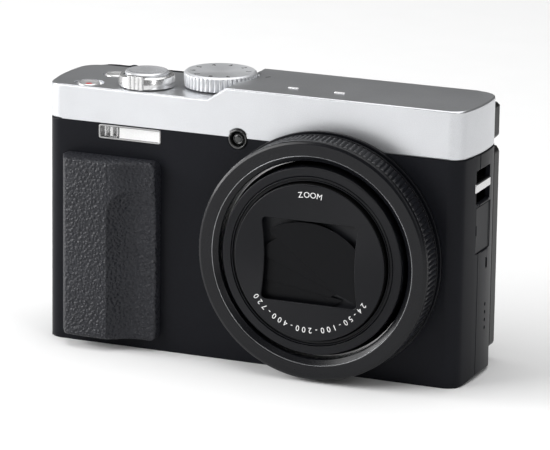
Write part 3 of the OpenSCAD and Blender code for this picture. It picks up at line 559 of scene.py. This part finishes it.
turned("lens_flange_rim", "lens_flange", [
    (NOSE + 0.1, y_flange_back), (RING + 0.5, y_flange_back), (RING + 0.5, y_flange_back - 1.05),
    (RING - 1, y_flange_back - 1.05), (RING - 1, y_flange + 0.7), (RING, y_flange + 0.7),
    (RING, y_flange), (NOSE + 0.1, y_flange)], spun_black, edge=0.15)


def barrel_outline(index, y_front, r_in, lip):
    """Tube with a collar at its tail and a front wall in to r_in.

    lip is None, or the two radii of a groove in the front wall.
    """
    r = BARREL[index]
    collar = radius("barrel_%d" % (index + 1))
    front = [(r, y_front + 0.25), (r - 0.25, y_front)]
    front += [(lip[0], y_front), (lip[0] - 0.12, y_front + 0.5), (lip[1] + 0.06, y_front + 0.5),
              (lip[1], y_front + 0.18)] if lip else []
    return [(collar, y_tail), (collar, y_tail - 2), (r, y_tail - 2)] + front + [
        (r_in + 0.12, y_front + (0.18 if lip else 0)), (r_in, y_front + (0.3 if lip else 0.1)),
        (r_in, y_front + 1), (r - SHELL, y_front + 1), (r - SHELL, y_tail)]


turned("barrel_1_tube", "barrel_1", barrel_outline(0, low("barrel_1").y, BARREL[1] + 0.06, None),
       spun_black, edge=0.08)
turned("barrel_2_tube", "barrel_2", barrel_outline(1, low("barrel_1").y, BARREL[2] + 0.25, (20.8, 20.3)),
       spun_black, edge=0.04)
y_three = low("barrel_3").y
turned("barrel_3_tube", "barrel_3", [
    (radius("barrel_3"), y_tail), (radius("barrel_3"), y_tail - 2), (BARREL[2], y_tail - 2),
    (BARREL[2], y_three + 0.1), (BARREL[2] - SHELL, y_three + 0.1), (BARREL[2] - SHELL, y_tail)],
       barrel_black, edge=0.06)
# ring behind the blades, which hides the inside of the lens at the corners of the window. Its coat is
# painted lighter than the blades: painted light that cancels the shade falling on it in the gap behind them
MASK_R = 9.6
MASK_THICK = 0.6
y_mask = low("name_ring").y + 2.6
turned("window_mask", "barrel_3", [
    (MASK_R, y_mask), (BARREL[2] - SHELL, y_mask), (BARREL[2] - SHELL, y_mask + MASK_THICK),
    (MASK_R, y_mask + MASK_THICK)], shade_cancelling_mask_coat, edge=0.06, replaces=False)

# disc with the barrier window, whose sides bow inwards
WINDOW = (12.7, 10.3)           # half width and half height
BOW = 0.9                       # how far the middle of each side comes in
CORNER = 1.1                    # radius of the window's corners


def window_outline():
    """The window, read once round: the right side with its corners, then the same mirrored."""
    w, h = WINDOW
    rows = [-h + CORNER + (2 * h - 2 * CORNER) * k / 24 for k in range(25)]
    side = [(w - BOW * (1 - (z / h) ** 2), z) for z in rows]
    top = arc((side[-1][0] - CORNER, rows[-1]), CORNER, 0, 90, 6)[1:]
    right = [(x, -z) for x, z in reversed(top)] + side + top
    return right + [(-x, z) for x, z in reversed(right)]


disc_r = radius("name_ring")
disc_y = (low("name_ring").y + y_three) / 2
disc_outline = arc((0, 0), disc_r, 0, 360, FINE)[:-1]
plate("name_ring_disc", [disc_outline, window_outline()], y_three - low("name_ring").y, 0.22,
      facing_front(LENS.x, disc_y, LENS.z), disc_black, "tube_3", ["name_ring"])

# plain focal length scale on the disc
SCALE_R = 16.9
LETTER = 2.0                    # height of a letter
SPACING = 5.6                   # degrees from one letter to the next


def curved_text(text, start):
    """Letters on a circle round the lens axis, from an angle in degrees and read clockwise."""
    result = []
    for k, letter in enumerate(text):
        t = start - k * SPACING
        x = LENS.x + SCALE_R * math.cos(math.radians(t))
        z = LENS.z + SCALE_R * math.sin(math.radians(t))
        result.append((letter, LETTER, facing_front(x, low("name_ring").y, z, t - 90)))
    return result


scale_marks = curved_text("ZOOM", 90 + 1.5 * SPACING) + curved_text("24-50-100-200-400-720", -32)
plate("lens_scale", None, 0.03, 0.0, None, white_print, "tube_3", marks=scale_marks)


# ---------- flash, lamp ----------

flash_low, flash_high = low("flash_window"), high("flash_window")
flash_mid = middle("flash_window")
DIFFUSER_LEFT = flash_low.x + 5.6
LINES = 14                      # lens lines of the diffuser
LINE_DEPTH = 0.1


def box_outline(x0, z0, x1, z1, corner):
    """A rectangle with rounded corners."""
    points = rounded([Vector(p) for p in ((x0, z0), (x1, z0), (x1, z1), (x0, z1))], corner, 4)
    return [(p.x, p.y) for p in points]


half = (flash_high - flash_low) / 2
plate("flash_surround", [box_outline(-half.x, -half.z, half.x, half.z, 0.7),
                         box_outline(-half.x + 0.45, -half.z + 0.4, half.x - 0.35, half.z - 0.4, 0.4)],
      2.2, 0.12, facing_front(flash_mid.x, flash_low.y + 1.1, flash_mid.z), clear_rim,
      "camera", ["flash_window"])


def make_diffuser():
    """Ribbed diffuser over the right two thirds of the flash."""
    ribs = []
    count = LINES * 4
    for i in range(count + 1):
        z = -half.z + 0.42 + (2 * half.z - 0.84) * i / count
        ribs.append((z, LINE_DEPTH * abs(math.sin(math.pi * i / 4))))
    bm = bmesh.new()
    ends = (DIFFUSER_LEFT, flash_high.x - 0.37)
    y_rib = flash_low.y + 0.35

    def row(x, depth_at):
        return [bm.verts.new(Vector((x, y_rib + depth_at(d), flash_mid.z + z)) * MM) for z, d in ribs]

    front = [row(x, lambda d: -d) for x in ends]
    back = [row(x, lambda d: 0.9) for x in ends]
    loops = [front[0], front[1], back[1], back[0]]
    for one, two in zip(loops, loops[1:] + loops[:1]):
        for i in range(count):
            bm.faces.new((one[i], one[i + 1], two[i + 1], two[i]))
    bm.faces.new([loop[0] for loop in loops])
    bm.faces.new([loop[-1] for loop in loops])
    return finished("flash_diffuser", bm, flash_white, "camera", weighted=False)


make_diffuser()
# clear end, which shows the bright frame and the tube behind it
plate("flash_clear_end", [box_outline(flash_low.x + 0.45 - flash_mid.x, -half.z + 0.4,
                                      DIFFUSER_LEFT - flash_mid.x, half.z - 0.4, 0.3)],
      0.5, 0.08, facing_front(flash_mid.x, flash_low.y + 0.5, flash_mid.z), clear_glass,
      "camera")
# place from the left edge and width of each bar of the frame
for x, wide in ((1.5, 0.5), (3.2, 0.9), (4.7, 0.35)):
    plate("flash_frame_%d" % (x * 10), [box_outline(-wide / 2, -half.z + 0.5, wide / 2, half.z - 0.5, 0.1)],
          0.6, 0.08, facing_front(flash_low.x + x, flash_low.y + 1.3, flash_mid.z), bright_metal,
          "camera")

lamp = middle("af_lamp")
lamp_r = radius("af_lamp")
y_lamp = low("af_lamp").y
turned("lamp_rim", "af_lamp", [
    (lamp_r - 0.55, y_lamp + 2.5), (lamp_r - 0.55, y_lamp + 0.35), (lamp_r - 0.35, y_lamp + 0.02),
    (lamp_r, y_lamp + 0.12), (lamp_r, y_lamp + 2.5)], lamp_metal, centre=lamp, edge=0.08, steps=96)
turned("lamp_dome", "af_lamp", [
    (0, y_lamp + 0.35), (0.8, y_lamp + 0.45), (1.4, y_lamp + 0.8), (lamp_r - 0.6, y_lamp + 1.3),
    (lamp_r - 0.6, y_lamp + 2.3), (0, y_lamp + 2.3)], lamp_glass, centre=lamp, edge=0.05, steps=96,
    replaces=False)
turned("lamp_ring", "af_lamp", [
    (0.95, y_lamp + 0.55), (1.15, y_lamp + 0.45), (1.3, y_lamp + 0.62), (1.2, y_lamp + 1.2),
    (0.95, y_lamp + 1.2)], lamp_metal, centre=lamp, edge=0.04, steps=64, replaces=False)


# ---------- top controls ----------

dial, dial_r = middle("mode_dial"), radius("mode_dial")
dial_low, dial_top = low("mode_dial").z, high("mode_dial").z
FLUTES = 46
STEPS_PER_FLUTE = 10
FLUTE_DEPTH = 0.4
SHAFT_R, SHAFT_DEPTH = 1.65, 2.6        # the bore for the dial's shaft


def fluted(r, h, t):
    """Radius of the mode dial, with the flutes of its side."""
    if r < dial_r - 0.05 or not dial_low + 0.1 < h < dial_top - 0.5:
        return r
    return r - FLUTE_DEPTH * (1 - abs(math.sin(FLUTES * t / 2))) ** 1.6


# the bore for the shaft and the body are one outline that starts and ends on the axis
dial_outline = [
    (0, dial_low + SHAFT_DEPTH), (SHAFT_R, dial_low + SHAFT_DEPTH), (SHAFT_R, dial_low),
    (dial_r - 0.7, dial_low), (dial_r - 0.5, dial_low + 0.15), (dial_r, dial_low + 0.2),
    (dial_r, dial_low + 1.5), (dial_r, dial_top - 0.65), (dial_r - 0.12, dial_top - 0.45),
    (dial_r - 0.6, dial_top - 0.02), (dial_r - 0.8, dial_top), (dial_r - 1.1, dial_top - 0.12),
    (0, dial_top - 0.3)]
dial_bm = lathe(dial_outline, dial, "z", FLUTES * STEPS_PER_FLUTE, fluted)
finished("mode_dial_turned", dial_bm, spun_dial, "dial", ["mode_dial"],
         sharp=50, weighted=False)

# numbers round the dial, and the index beside it on the raised deck
marks = []
mark_r = dial_r - 2.3
for i, sign in enumerate("123456789"):
    t = 36 * i + 20
    x = dial.x + mark_r * math.cos(math.radians(t))
    y = dial.y + mark_r * math.sin(math.radians(t))
    marks.append((sign, LETTER, facing_up(x, y, dial_top - 0.14, t - 90)))
plate("dial_numbers", None, 0.06, 0.0, None, dark_print, "dial", marks=marks)
index_x = dial.x + dial_r + 2.9
plate("dial_index", [box_outline(-0.16, -0.75, 0.16, 0.75, 0.1)], 0.05, 0.0,
      facing_up(index_x, dial.y + 1.7, high("top_cover").z, -35), dark_print, "camera")

# bright inserts in the two microphone slots, which stand a little proud of the deck
mic_low, mic_high = low("microphones"), high("microphones")
mic_r = (mic_high.y - mic_low.y) / 2
for i, x in enumerate((mic_low.x + mic_r, mic_high.x - mic_r)):
    plate("microphone_insert_%d" % (i + 1), [box_outline(-1.33, -0.28, 1.33, 0.28, 0.15)], 0.6, 0.06,
          facing_up(x, middle("microphones").y, high("top_cover").z - 0.08), flash_white,
          "camera")

shutter = middle("shutter_button")
shutter_r, shutter_top = radius("shutter_button"), high("shutter_button").z
shutter_low = low("shutter_button").z
STEM = 2.9                      # radius of the shutter's stem below its cap
CAP = 2.0                       # height of the cap
turned("shutter_cap", "shutter_button", [
    (0, shutter_low), (STEM, shutter_low), (STEM, shutter_top - CAP), (shutter_r, shutter_top - CAP),
    (shutter_r, shutter_top - 0.4), (shutter_r - 0.4, shutter_top), (shutter_r - 0.75, shutter_top),
    (shutter_r - 1.6, shutter_top - 0.22), (2.0, shutter_top - 0.42), (0, shutter_top - 0.48)],
       spun_top, "z", shutter)

# zoom lever: a ring round the shutter, with a ribbed tab in front that stands half a millimetre higher
lever_low, tab_top = low("zoom_lever").z, high("zoom_lever").z
lever_top = tab_top - 0.5
LEVER_R = 7.1
LEVER_BORE = 3.2
turned("lever_ring", "zoom_lever", [
    (LEVER_BORE, lever_low), (LEVER_R, lever_low), (LEVER_R, lever_low + 1.2),
    (LEVER_R - 0.25, lever_top - 0.35), (LEVER_R - 0.7, lever_top), (shutter_r + 0.35, lever_top),
    (shutter_r + 0.25, lever_top - 0.3), (shutter_r + 0.25, lever_low + 0.8),
    (LEVER_BORE, lever_low + 0.8)], silver_metal, "z", shutter)
TAB_RIBS = 4
tab_half, tab_front = 2.2, low("zoom_lever").y - shutter.y
bumps = []
for i in range(TAB_RIBS):
    x = -tab_half + (2 * i + 1) * tab_half / TAB_RIBS
    bumps += arc((x, tab_front + 0.5), tab_half / TAB_RIBS, 180, 360, 6)
tab = bumps + [(tab_half, tab_front + 2.2), (-tab_half, tab_front + 2.2)]
plate("lever_tab", [tab], tab_top - lever_low, 0.1,
      facing_up(shutter.x, shutter.y, (tab_top + lever_low) / 2), silver_metal, "lever")

for node in ("record_button", "power_button"):
    centre, r, top, foot = middle(node), radius(node), high(node).z, low(node).z
    turned(node + "_cap", node, [
        (0, foot), (r, foot), (r, top - 0.3), (r - 0.25, top), (r - 0.5, top), (r - 1.2, top - 0.25),
        (0, top - 0.42)], polished_silver, "z", centre, edge=0.1, steps=96)
record_top = high("record_button").z
DOT_R = 1.1
turned("record_dot", "record_button", [
    (0, record_top - 0.6), (DOT_R, record_top - 0.6), (DOT_R, record_top - 0.34), (0, record_top - 0.33)],
       red_dot, "z", middle("record_button"), edge=0.04, steps=64, replaces=False)


# ---------- grip ----------

GRIP_LOW, GRIP_HIGH = low("grip_skin"), high("grip_skin")
GRIP_WIDE = GRIP_HIGH.x - GRIP_LOW.x
PROUD = GRIP_HIGH.y - GRIP_LOW.y
# how far the skin stands out across its width: distance from the left edge and share of PROUD
SECTION = [(0.0, 0.80), (3.8, 0.92), (7.0, 0.96), (10.3, 0.985), (15.2, 1.0), (16.6, 0.97),
           (18.4, 0.90), (20.0, 0.79), (21.6, 0.67), (23.5, 0.57), (26.8, 0.50)]
RIDGE = 15.2                    # crest, from the left edge of the grip
HOLLOW_TOP = 39.2               # top of the finger hollow, above the lower edge of the grip
HOLLOW_R = 6.8                  # radius of the hollow's upper corner
SLOPE = 7.6                     # width of the slope from the crest down into the hollow
EDGE_SLOPE = 3.8                # width of the slope up from the left edge
HOLLOW_DEPTH = 0.385            # how far the bottom of the hollow stands out, as a share of PROUD
GRIP_CORNER = 2.0               # corner radius of the outline
EDGE_COLUMNS = 18               # columns of the mesh over the slope at the left edge
COLUMNS, ROWS = 115, 225        # the rest of the mesh
PEBBLES, PEBBLE_HEIGHT = 1.25, 0.09     # pebbles to a millimetre
WAVES, WAVE_HEIGHT = 0.9, 0.03
GRAIN_LEVEL = 0.07              # height of the grain that lies level with the smooth shape


def smooth_table(table, x):
    """The value at x of a table of (x, value) rows, with straight lines between them."""
    for (x0, y0), (x1, y1) in zip(table, table[1:]):
        if x <= x1:
            t = max(0.0, (x - x0) / (x1 - x0))
            return y0 + (y1 - y0) * t
    return table[-1][1]


def grip_height(u, v):
    """How far the skin stands out, u from the left edge and v above the lower edge, before the grain."""
    outer = sum(smooth_table(SECTION, u + d) for d in (-0.9, -0.45, 0, 0.45, 0.9)) / 5 * PROUD
    qx, qz = RIDGE + HOLLOW_R - u, v - (HOLLOW_TOP - HOLLOW_R)
    inside = HOLLOW_R - math.hypot(max(qx, 0), max(qz, 0)) - min(max(qx, qz), 0)
    if inside > 0:
        t = min(1.0, inside / SLOPE)
        outer -= (outer - HOLLOW_DEPTH * PROUD) * (1 - (1 - t) ** 1.6)
    # slope up from the left edge, then round the rim: distance to it, radius and drop at it
    if u < EDGE_SLOPE:
        outer *= 1 - (1 - u / EDGE_SLOPE) ** 1.5
    tall = GRIP_HIGH.z - GRIP_LOW.z
    for gap, r, drop in ((GRIP_WIDE - u, 0.8, 0.16), (tall - v, 0.7, 0.12), (v, 1.2, 0.2)):
        if gap < r:
            outer *= 1 - drop * (1 - math.sqrt(max(0.0, 1 - ((r - gap) / r) ** 2)))
    return outer


def grain(x, z):
    """Height of the leather grain: pebbles that rise from the creases between cells, on slow waves."""
    distances = noise.voronoi(Vector((x * PEBBLES, z * PEBBLES, 0.3)))[0]
    pebble = math.sqrt(min(1.0, (distances[1] - distances[0]) * 1.6))
    return PEBBLE_HEIGHT * pebble + WAVE_HEIGHT * noise.noise(Vector((x * WAVES, z * WAVES, 7)))


def round_corner(u, v, tall):
    """Where a point of a square grid goes once the corners of the outline are rounded."""
    edge_u = GRIP_CORNER - min(u, GRIP_WIDE - u)
    edge_v = GRIP_CORNER - min(v, tall - v)
    if edge_u <= 0 or edge_v <= 0:
        return u, v
    scale = max(edge_u, edge_v) / math.hypot(edge_u, edge_v)
    centre_u = GRIP_CORNER if u < GRIP_CORNER else GRIP_WIDE - GRIP_CORNER
    centre_v = GRIP_CORNER if v < GRIP_CORNER else tall - GRIP_CORNER
    return centre_u + (u - centre_u) * scale, centre_v + (v - centre_v) * scale


def make_grip():
    """The leather skin: a grid in front, its rim drawn back to the casing, and a flat back."""
    tall = GRIP_HIGH.z - GRIP_LOW.z
    us = [EDGE_SLOPE * (1 - math.cos(math.radians(90 * i / EDGE_COLUMNS))) for i in range(EDGE_COLUMNS)]
    us += [EDGE_SLOPE + (GRIP_WIDE - EDGE_SLOPE) * i / COLUMNS for i in range(COLUMNS + 1)]
    vs = [tall * i / ROWS for i in range(ROWS + 1)]
    y_wall = GRIP_HIGH.y
    bm = bmesh.new()
    grid = []
    for v in vs:
        line = []
        for u in us:
            du, dv = round_corner(u, v, tall)
            out = grip_height(du, dv)
            if 0.4 < du < GRIP_WIDE - 0.2 and 0.2 < dv < tall - 0.2:
                out += grain(du, dv) - GRAIN_LEVEL
            line.append(bm.verts.new(Vector((GRIP_LOW.x + du, y_wall - out, GRIP_LOW.z + dv)) * MM))
        grid.append(line)
    for one, two in zip(grid, grid[1:]):
        for i in range(len(us) - 1):
            bm.faces.new((one[i], one[i + 1], two[i + 1], two[i]))
    rim = grid[0] + [line[-1] for line in grid[1:]] + grid[-1][-2::-1] + [line[0] for line in grid[-2:0:-1]]
    foot = [bm.verts.new(Vector((v.co.x, y_wall * MM, v.co.z))) for v in rim]
    for i in range(len(rim)):
        k = (i + 1) % len(rim)
        bm.faces.new((rim[i], rim[k], foot[k], foot[i]))
    bm.faces.new(foot)
    return finished("grip_leather", bm, rubber, "camera", ["grip_skin"],
                    sharp=50, weighted=False)


make_grip()


# ---------- floor, light and camera ----------

def area_light(name, spot, target, size, power):
    """A soft light in metres and watts, pointed at its target."""
    data = bpy.data.lights.new(name, "AREA")
    data.shape = "RECTANGLE"
    data.size, data.size_y = size
    data.energy = power
    lamp = bpy.data.objects.new(name, data)
    lamp.location = spot
    lamp.rotation_mode = "QUATERNION"
    lamp.rotation_quaternion = (Vector(target) - Vector(spot)).to_track_quat("-Z", "Y")
    bpy.context.scene.collection.objects.link(lamp)


def make_floor():
    bm = bmesh.new()
    bmesh.ops.create_grid(bm, x_segments=1, y_segments=1, size=6)
    mesh = bpy.data.meshes.new("floor")
    bm.to_mesh(mesh)
    bm.free()
    mesh.materials.append(surface("floor_paper", grey(240), grey(243), 0.9, specular=0.1))
    floor = bpy.data.objects.new("floor", mesh)
    bpy.context.scene.collection.objects.link(floor)


def make_camera(azimuth, elevation, roll, lens, distance, shift_right, shift_up, front):
    """A camera turned by angles in degrees, with its lens, distance and place in millimetres.

    It looks along its own back axis at a point on the object that is front along Y from the origin,
    then shift_right and shift_up across the view.
    """
    a, e, r = map(math.radians, (azimuth, elevation, roll))
    right = Vector((math.cos(a), math.sin(a), 0))
    back = Vector((math.sin(a) * math.cos(e), -math.cos(a) * math.cos(e), math.sin(e)))
    up = back.cross(right)
    across = right * math.cos(r) + up * math.sin(r)
    upward = up * math.cos(r) - right * math.sin(r)
    data = bpy.data.cameras.new("camera")
    data.lens = lens
    data.clip_start, data.clip_end = 0.05, 50
    camera = bpy.data.objects.new("camera", data)
    spot = across * shift_right + upward * shift_up + back * distance + Vector((0, front, 0))
    turn = Matrix((across, upward, back)).transposed().to_4x4()
    camera.matrix_world = Matrix.Translation(spot * MM) @ turn
    bpy.context.scene.collection.objects.link(camera)
    bpy.context.scene.camera = camera


world = bpy.data.worlds.new("studio")
world.use_nodes = True
world.node_tree.nodes["Background"].inputs["Color"].default_value = grey(200)
world.node_tree.nodes["Background"].inputs["Strength"].default_value = 0.14
bpy.context.scene.world = world
bpy.context.scene.view_settings.view_transform = "Standard"

make_floor()
area_light("front", (-1.1, -1.0, 0.75), (0, 0, 0.03), (0.8, 0.8), 15)
area_light("overhead", (0.1, 0.1, 1.8), (0, 0, 0), (2.2, 2.2), 33)
area_light("left_box", (-0.8, -0.19, 0.28), (0, 0, 0.05), (0.3, 0.35), 5)
area_light("right_strip", (0.9, -0.7, 0.55), (0, 0, 0.03), (0.2, 0.7), 3)
make_camera(azimuth=22.57, elevation=14.69, roll=0.79, lens=251.7, distance=957,
            shift_right=6.4, shift_up=34.3, front=-9.8)
